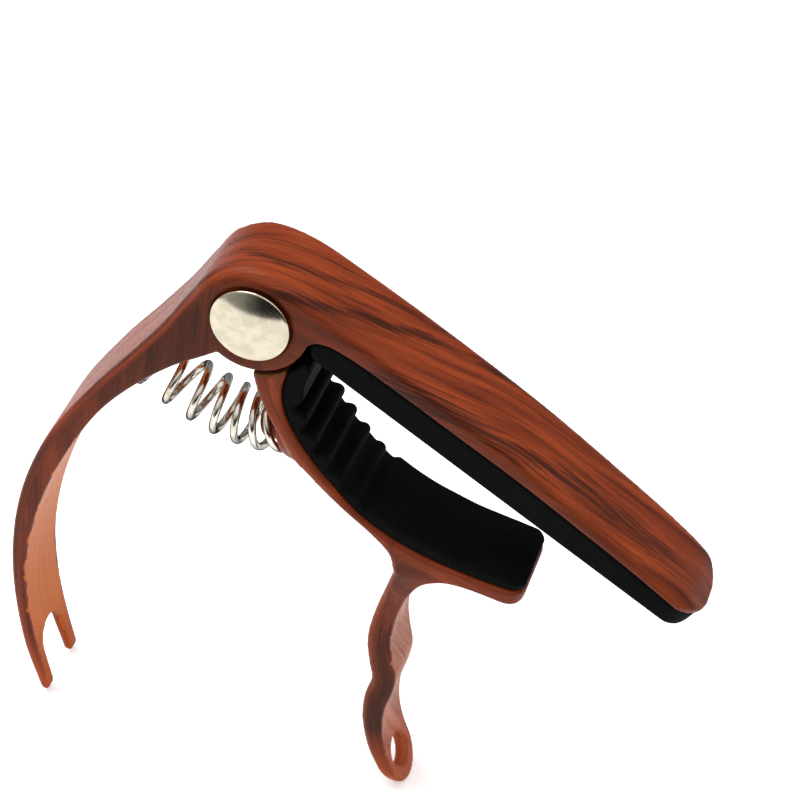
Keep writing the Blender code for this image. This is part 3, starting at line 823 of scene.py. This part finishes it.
def grain_upper(obj):
    """Store how the print and the painted shade lie on the upper casting."""
    x, y, z = local_points(obj).T
    outer, along = nearest(UPPER_OUTER, x, z)
    inner, _ = nearest(UPPER_INNER, x, z)
    half = hook_half(x, z)
    on_hook = ease(x, *HOOK_START_X)
    rim = half - np.abs(y)
    inside = np.minimum(rim, (outer - inner) * INNER_SHARE)
    inside = np.where(on_hook > 0, inside * on_hook, -1.0)
    across = unroll(outer, y)
    drift = np.interp(along, *np.array(GRAIN_DRIFT, float).T)
    side = ease(rim, *UPPER_SIDE[0]) * ease(outer, *UPPER_SIDE[1])
    length = along + (-z - along) * side * on_hook
    width = across - drift
    width = width + (x * SIDE_GRAIN_SLOPE - width) * side * on_hook
    strength = 1 - side * (0.75 - 0.45 * on_hook)
    store(obj, "grain", np.stack([length, width, strength], axis=1))
    store(obj, "inside", inside)
    dark = streaks(along, across)
    for cx, cz, reach, thin in SIDE_STREAKS:
        lean = x - cx - SIDE_LEAN * (z - cz)
        blot = np.exp(-(lean / thin) ** 2 - ((z - cz) / reach) ** 4)
        dark = np.maximum(dark, 0.6 * blot * side)
    back_edge = peak(outer, 0.5, 0.8) * ease(z, -24, -34) * ease(z, -70, -55)
    dark = np.maximum(dark, 0.8 * back_edge * (y < 0))
    store(obj, "streak", dark)
    # Painted shade on the flat sides: deepest round the hook's root, a little lighter low on the
    # hook
    root = spot(x, z, (-13, -7), 13)
    store(obj, "painted_shade", side * (0.42 + 0.35 * root - 0.1 * ease(z, -22, -34)))
    crotch = np.hypot(y, np.maximum(z - FORK_CROTCH_Z, 0)) - FORK_SLOT_HALF
    rub = peak(crotch, 0, 0.4) * (z < FORK_CROTCH_Z + 4) * (x < FORK_LIMIT_X)
    store(obj, "rub", 0.35 * rub)


def grain_lower(obj):
    """Store how the print and the painted shade lie on the lower casting."""
    x, y, z = local_points(obj).T
    outer, along = nearest(LOWER_OUTER, x, z)
    inner, _ = nearest(LOWER_INNER, x, z)
    face, strap = nearest(LOWER_FACE, x, z)
    total = sum(math.dist(a, b) for a, b in zip(LOWER_FACE, LOWER_FACE[1:]))
    to_strap = ease(x, *STRAP_START_X) * ease(z, *STRAP_START_Z)
    rim = handle_half(z) - np.abs(y)
    inside = np.minimum(rim, (outer - inner) * INNER_SHARE)
    on_handle = (x > HANDLE_SPAN_X[0]) & (x < HANDLE_SPAN_X[1]) & (z < HANDLE_TOP_Z)
    inside = np.where(on_handle, inside, -1.0)
    share = ease(inside, 0.2, 1.0)
    across = unroll(outer, y)
    width = across + (y - HANDLE_GRAIN_SLOPE * along - across) * share
    handle = np.stack([along, width, np.full_like(along, HANDLE_STRENGTH)], axis=1)
    jaw_length = total - strap + JAW_PHASE
    jaw_width = unroll(face + JAW_WRAP, y)
    jaw = np.stack([jaw_length, jaw_width, np.full_like(along, JAW_STRENGTH)], axis=1)
    grain = handle * (1 - to_strap[:, None]) + jaw * to_strap[:, None]
    grain[:, 2] *= 1 - 4 * to_strap * (1 - to_strap)
    store(obj, "grain", grain)
    store(obj, "inside", inside)
    knee = peak(inside, -0.1, 0.5) * (y < 0) * ease(z, -46, -50) * ease(z, -76, -70)
    junction = 0.55 * to_strap * (1 - to_strap) * 2
    store(obj, "streak", np.maximum(0.62 * knee, junction))
    # Painted shade on the flat sides: more down the handle, and most at the T under the jaw
    side = ease(rim, *LOWER_SIDE[0]) * ease(outer, *LOWER_SIDE[1])
    fork = spot(x, z, (23.5, -37), 5)
    handle_painted_shade = 0.15 + 0.3 * ease(z, -36, -44) + 0.15 * ease(z, -52, -64)
    store(obj, "painted_shade", side * np.maximum(0.7 * fork, handle_painted_shade))
    radius = np.hypot(x, z)
    band = 0.8 * peak(radius, 8.45, 0.4) * (np.abs(y) > 3.2)
    ring = peak(ring_gap(x, y, z), 0.45, 0.16) * (z < -70)
    store(obj, "rub", np.clip(band + 0.7 * ring, 0, 1))


# ---------------------------------------------------------------- materials

class Nodes:
    """Short calls for adding and linking nodes."""

    def __init__(self, tree):
        self.tree = tree

    def add(self, kind, *values, out=0, **settings):
        node = self.tree.nodes.new(kind)
        for key, value in settings.items():
            setattr(node, key, value)
        for socket, value in zip(node.inputs, values):
            self.put(socket, value)
        return node.outputs[out]

    def put(self, socket, value):
        if isinstance(value, bpy.types.NodeSocket):
            self.tree.links.new(value, socket)
        elif value is not None:
            socket.default_value = value

    def math(self, operation, a, b=None, clamp=False):
        return self.add("ShaderNodeMath", a, b, operation=operation, use_clamp=clamp)


class Shader(Nodes):
    """A material, with calls for its patterns and its surface."""

    def __init__(self, name):
        self.material = bpy.data.materials.new(name)
        self.material.use_nodes = True
        super().__init__(self.material.node_tree)
        self.surface = self.tree.nodes["Principled BSDF"]

    def set(self, **values):
        for key, value in values.items():
            self.put(self.surface.inputs[key.replace("_", " ")], value)

    def swing(self, value, amount):
        """A pattern's value turned into a shift about zero."""
        return self.math("MULTIPLY", self.math("SUBTRACT", value, 0.5), amount)

    def mix(self, factor, a, b):
        node = self.tree.nodes.new("ShaderNodeMix")
        node.data_type = "RGBA"
        self.put(node.inputs["Factor"], factor)
        self.put(node.inputs[6], a)
        self.put(node.inputs[7], b)
        return node.outputs[2]

    def ramp(self, factor, *stops):
        node = self.tree.nodes.new("ShaderNodeValToRGB")
        elements = node.color_ramp.elements
        while len(elements) < len(stops):
            elements.new(0.5)
        for element, (position, colour) in zip(elements, stops):
            element.position = position
            element.color = colour if isinstance(colour, tuple) else (colour,) * 3 + (1,)
        self.put(node.inputs["Fac"], factor)
        return node.outputs["Color"]

    def noise(self, vector, scale, detail=2.0, roughness=0.5):
        node = self.tree.nodes.new("ShaderNodeTexNoise")
        self.put(node.inputs["Vector"], vector)
        self.put(node.inputs["Scale"], scale)
        self.put(node.inputs["Detail"], detail)
        self.put(node.inputs["Roughness"], roughness)
        return node.outputs["Fac"]

    def place(self, scale=1.0):
        """Position in mm."""
        coordinates = self.tree.nodes.new("ShaderNodeTexCoord")
        node = self.tree.nodes.new("ShaderNodeVectorMath")
        node.operation = "SCALE"
        self.put(node.inputs[0], coordinates.outputs["Object"])
        self.put(node.inputs["Scale"], scale / MM)
        return node.outputs[0]

    def bump(self, height, strength, distance, normal=None):
        node = self.tree.nodes.new("ShaderNodeBump")
        self.put(node.inputs["Height"], height)
        self.put(node.inputs["Strength"], strength)
        self.put(node.inputs["Distance"], distance * MM)
        if normal is not None:
            self.put(node.inputs["Normal"], normal)
        return node.outputs["Normal"]


def colour(code):
    """Linear colour of a hexadecimal screen colour."""
    parts = [int(code[k:k + 2], 16) / 255 for k in (0, 2, 4)]
    linear = [c / 12.92 if c <= 0.04045 else ((c + 0.055) / 1.055) ** 2.4 for c in parts]
    return tuple(linear) + (1.0,)


def rosewood(name, inner_tone, inner_line, seed):
    """Rosewood print under lacquer with painted shade on the flat sides, fading to plain paint
    on the inner faces.
    """
    s = Shader(name)
    grain = s.add("ShaderNodeAttribute", attribute_name="grain", out=1)
    inside, streak, rub, painted_shade = (s.add("ShaderNodeAttribute", attribute_name=key, out=2)
                                  for key in ("inside", "streak", "rub", "painted_shade"))
    split = s.tree.nodes.new("ShaderNodeSeparateXYZ")
    s.put(split.inputs[0], grain)
    length, width, strength = split.outputs

    def at(along, across, layer):
        a = s.math("MULTIPLY", length, along)
        b = s.math("MULTIPLY", width, across)
        return s.add("ShaderNodeCombineXYZ", a, b, seed + layer)

    # Wood: broad tone, red and brown lines, soft bands, dark streaks and pores, then painted
    # shade on the flat sides
    warp = s.noise(at(0.04, 0.12, 1.0), 1.0, 2.0)
    width = s.math("ADD", width, s.swing(warp, 4.0))
    broad = s.noise(at(0.03, 0.2, 2.0), 1.0, 2.0, 0.55)
    base = s.ramp(broad, (0.32, colour("5f2613")), (0.44, colour("80341a")),
                  (0.56, colour("96401f")), (0.68, colour("702c16")))
    red = s.noise(at(0.045, 0.8, 4.0), 1.0, 3.0, 0.55)
    base = s.mix(s.ramp(red, (0.48, 0.0), (0.72, 0.6)), base, colour("a8481c"))
    fine = s.noise(at(0.08, 2.4, 3.0), 1.0, 4.0, 0.6)
    base = s.mix(s.ramp(fine, (0.42, 0.0), (0.7, 0.55)), base, colour("5a2413"))
    band = s.noise(at(0.025, 0.42, 5.0), 1.0, 4.0, 0.6)
    soft = s.ramp(band, (0.48, 0.0), (0.64, 0.8))
    base = s.mix(s.math("MULTIPLY", soft, strength), base, colour("42190e"))
    feather = s.noise(at(0.09, 1.9, 6.0), 1.0, 5.0, 0.68)
    feathered = s.math("ADD", streak, s.swing(feather, 3.6))
    dark = s.ramp(feathered, (0.35, 0.0), (0.75, 0.65), (1.0, 0.9))
    dark = s.math("MULTIPLY", dark, s.ramp(streak, (0.05, 0.0), (0.3, 1.0)))
    base = s.mix(dark, base, colour("35170f"))
    pores = s.noise(at(0.45, 6.0, 7.0), 1.0, 2.0, 0.5)
    base = s.mix(s.ramp(pores, (0.62, 0.0), (0.72, 0.35)), base, colour("34140b"))
    # Painted shade: the flat sides darkened towards umber, as much as each casting stores
    base = s.mix(painted_shade, base, colour("2a140b"))

    # Inner faces: plain paint up to the print's ragged edge, then the foot's tone
    ragged = s.noise(s.place(0.3), 1.0, 4.0, 0.6)
    edge = s.math("ADD", inside, s.swing(ragged, 5.0))
    plain = s.math("MULTIPLY", s.ramp(edge, (0.6, 0.0), (0.7, 1.0)),
                   s.ramp(inside, (0.05, 0.0), (0.2, 1.0)))
    plain = s.math("MAXIMUM", plain, s.ramp(inside, (0.88, 0.0), (0.98, 1.0)))
    tint = s.noise(at(0.05, 0.6, 8.0), 1.0, 3.0, 0.5)
    lines = s.noise(at(0.06, 1.8, 9.0), 1.0, 3.0, 0.6)
    paint = s.mix(s.ramp(tint, (0.35, 0.0), (0.65, 0.5)), inner_tone, inner_line)
    paint = s.mix(s.ramp(lines, (0.52, 0.0), (0.7, 0.5)), paint, inner_line)
    base = s.mix(plain, base, paint)
    height = s.tree.nodes.new("ShaderNodeSeparateXYZ")
    s.put(height.inputs[0], s.place())
    foot = s.add("ShaderNodeMapRange", height.outputs[2], 12.0, 4.0, 0.0, 0.7)
    base = s.mix(foot, base, colour("a5481e"))

    # Rubbed edges, then the lacquer's roughness and bump
    patch = s.noise(s.place(0.9), 1.0, 4.0, 0.7)
    worn = s.math("MULTIPLY", rub, s.math("MULTIPLY", patch, 2.0), clamp=True)
    worn = s.ramp(worn, (0.45, 0.0), (0.66, 1.0))
    base = s.mix(worn, base, colour("6f4728"))
    orange = s.noise(s.place(1.6), 1.0, 2.0, 0.5)
    rough = s.add("ShaderNodeMapRange", orange, 0.3, 0.7, 0.34, 0.48)
    bump = s.bump(fine, 0.12, 0.04)
    bump = s.bump(orange, 0.1, 0.06, bump)
    gloss = s.math("SUBTRACT", 0.12, s.math("MULTIPLY", plain, 0.07))
    s.set(Base_Color=base, Roughness=rough, Metallic=s.math("MULTIPLY", worn, 0.6))
    s.set(Normal=bump, Specular_IOR_Level=gloss)
    return s.material


def silicone(name):
    """Matt black rubber with a little dust."""
    s = Shader(name)
    cloud = s.noise(s.place(0.35), 1.0, 4.0, 0.6)
    dust = s.noise(s.place(5.0), 1.0, 3.0, 0.6)
    tone = s.ramp(cloud, (0.35, colour("090a0a")), (0.65, colour("0f1010")))
    tone = s.mix(s.ramp(dust, (0.62, 0.0), (0.75, 0.2)), tone, colour("1c1e1e"))
    rough = s.add("ShaderNodeMapRange", cloud, 0.3, 0.7, 0.6, 0.75)
    s.set(Base_Color=tone, Roughness=rough, Normal=s.bump(dust, 0.25, 0.03))
    s.set(Specular_IOR_Level=0.03)
    return s.material


def nickel(name, low, high, bright="cfc6b0", edge=None):
    """Plated metal between two roughnesses, with painted shade at grazing angles if asked."""
    s = Shader(name)
    swirl = s.noise(s.place(0.6), 1.0, 3.0, 0.6)
    scratch = s.noise(s.place(7.0), 1.0, 4.0, 0.7)
    tone = s.ramp(swirl, (0.38, colour(bright)), (0.66, colour("bcb4a0")))
    if edge:
        # Painted shade at grazing angles: the edge colour in the base and a dark specular tint
        facing = s.add("ShaderNodeLayerWeight", 0.5, out=1)
        painted_shade = s.ramp(facing, (0.35, 0.0), (0.62, 0.45), (0.85, 1.0))
        tone = s.mix(painted_shade, tone, colour(edge))
        s.set(Specular_Tint=s.mix(painted_shade, (1, 1, 1, 1), (0.1, 0.1, 0.1, 1)))
    rough = s.add("ShaderNodeMapRange", scratch, 0.3, 0.7, low, high)
    s.set(Base_Color=tone, Roughness=rough, Metallic=1.0, Normal=s.bump(scratch, 0.05, 0.01))
    return s.material


def plain_plastic(name, light, dark):
    """Cloudy plastic or film in two close tones."""
    s = Shader(name)
    cloud = s.noise(s.place(1.2), 1.0, 4.0, 0.6)
    tone = s.ramp(cloud, (0.35, colour(dark)), (0.65, colour(light)))
    rough = s.add("ShaderNodeMapRange", cloud, 0.3, 0.7, 0.42, 0.62)
    s.set(Base_Color=tone, Roughness=rough, Normal=s.bump(cloud, 0.1, 0.02))
    return s.material


def cover(obj, material):
    """Give an object one material."""
    obj.data.materials.clear()
    obj.data.materials.append(material)
    for polygon in obj.data.polygons:
        polygon.material_index = 0


# ---------------------------------------------------------------- assembly

def fit(obj, material, body, node):
    """Put a covered piece on a body, in place of a CAD node."""
    cover(obj, material)
    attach(obj, body)
    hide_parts(node)


upper = build_upper_arm()
grain_upper(upper)
upper_wood = rosewood("rosewood_upper", colour("c86f34"), colour("b85f2c"), 0.0)
fit(upper, upper_wood, "upper", "upper_arm")

lower = build_lower_arm()
grain_lower(lower)
lower_wood = rosewood("rosewood_lower", colour("c07a62"), colour("66301f"), 40.0)
fit(lower, lower_wood, "lower", "lower_arm")

pads = ((build_fret_pad(), "upper", "fret_pad"), (build_neck_pad(), "lower", "neck_pad"))
rubber = silicone("black_silicone")
for pad, body, node in pads:
    fit(pad, rubber, body, node)

polished = nickel("polished_nickel", 0.11, 0.18)
for label, sign in (("front", -1), ("back", 1)):
    cap = build_cap(label + "_cap_nickel", sign)
    fit(cap, polished, "upper", label + "_cap")

spring = build_spring()
# The wire's edge colour, 2c2a28, is painted shade at grazing angles
cover(spring, nickel("plated_wire", 0.1, 0.2, "dedcd6", "2c2a28"))
first, first_along = quadratic(0.0)
last, last_along = quadratic(1.0)
first = first - first_along * BLEND_REACH
last = last + last_along * BLEND_REACH
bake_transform(spring)
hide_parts("main_spring")

nodes = frame["nodes"]
cover(nodes["pivot_pin"], nickel("pin_steel", 0.2, 0.35, "c8c6c2"))
washer = plain_plastic("washer_nylon", "e0ded4", "cbc9bd")
tape = plain_plastic("adhesive_tape", "d9cfae", "bfb48f")
for node, material in (("front_washer", washer), ("back_washer", washer),
                       ("fret_pad_tape", tape), ("neck_pad_tape", tape)):
    cover(nodes[node], material)


# ---------------------------------------------------------------- studio

def build_floor():
    """Plain white floor at the capo's lowest point."""
    mesh = bpy.data.meshes.new("floor")
    level = cad_bounds[0].z
    corners = [(-FLOOR_HALF, FLOOR_NEAR, level), (FLOOR_HALF, FLOOR_NEAR, level),
               (FLOOR_HALF, FLOOR_FAR, level), (-FLOOR_HALF, FLOOR_FAR, level)]
    mesh.from_pydata(corners, [], [(0, 1, 2, 3)])
    floor = bpy.data.objects.new("floor", mesh)
    bpy.context.scene.collection.objects.link(floor)
    s = Shader("floor_white")
    speckle = s.noise(s.place(0.02), 1.0, 2.0)
    s.set(Base_Color=s.ramp(speckle, (0.3, 0.93), (0.7, 0.95)), Roughness=0.8)
    s.set(Specular_IOR_Level=0.1, Emission_Color=(1, 1, 1, 1), Emission_Strength=0.3)
    mesh.materials.append(s.material)


def build_world():
    """White studio: a dark card low in front at the right, a grey one high behind."""
    world = bpy.data.worlds.new("studio")
    bpy.context.scene.world = world
    world.use_nodes = True
    w = Nodes(world.node_tree)
    background = w.tree.nodes["Background"]

    def span(value, low, high):
        return w.add("ShaderNodeMapRange", value, low, high, 0.0, 1.0,
                     interpolation_type="SMOOTHSTEP")

    coordinates = w.tree.nodes.new("ShaderNodeTexCoord")
    split = w.tree.nodes.new("ShaderNodeSeparateXYZ")
    w.put(split.inputs[0], coordinates.outputs["Generated"])
    x, y, z = split.outputs
    right = span(x, -0.6, 0.0)
    front = span(y, -0.1, -0.7)
    low = span(z, 0.5, 0.05)
    card = w.math("MULTIPLY", w.math("MULTIPLY", right, front), low)
    behind = span(y, 0.1, 0.6)
    raised = span(z, 0.0, 0.2)
    grey = w.math("MULTIPLY", behind, raised)
    sky = w.add("ShaderNodeMapRange", z, 0.0, 0.7, 0.45, 1.15)
    for shadow, depth in ((card, 0.97), (grey, 0.65)):
        kept = w.add("ShaderNodeMapRange", shadow, 0.0, 1.0, 1.0, 1.0 - depth)
        sky = w.math("MULTIPLY", sky, kept)
    path = w.tree.nodes.new("ShaderNodeLightPath")
    light = w.math("MAXIMUM", sky, path.outputs["Is Camera Ray"])
    w.put(background.inputs["Color"], light)
    background.inputs["Strength"].default_value = 1.0


def build_light():
    """A soft square light that faces the capo."""
    data = bpy.data.lights.new("key", "AREA")
    data.size = LIGHT_SIZE
    data.energy = LIGHT_POWER
    light = bpy.data.objects.new("key", data)
    target = Vector(PIVOT) + Vector(LIGHT_TARGET)
    light.location = Vector(PIVOT) + Vector(LIGHT_PLACE)
    light.rotation_mode = "QUATERNION"
    light.rotation_quaternion = (target - light.location).to_track_quat("-Z", "Y")
    bpy.context.scene.collection.objects.link(light)


def build_camera():
    """A long lens from the front, a little to the right and well above."""
    right = Vector(CAMERA_RIGHT)
    up = Vector(CAMERA_UP)
    back = right.cross(up)
    data = bpy.data.cameras.new("camera")
    data.lens = CAMERA_LENS
    data.sensor_width = CAMERA_SENSOR
    data.clip_start = 0.01
    data.clip_end = 10
    camera = bpy.data.objects.new("camera", data)
    turn = Matrix((right, up, back)).transposed().to_4x4()
    place = Vector(PIVOT) + Vector(CAMERA_PLACE) * MM
    camera.matrix_world = Matrix.Translation(place) @ turn
    bpy.context.scene.collection.objects.link(camera)
    bpy.context.scene.camera = camera


build_floor()
build_world()
build_light()
build_camera()
bpy.context.scene.view_settings.view_transform = "Standard"
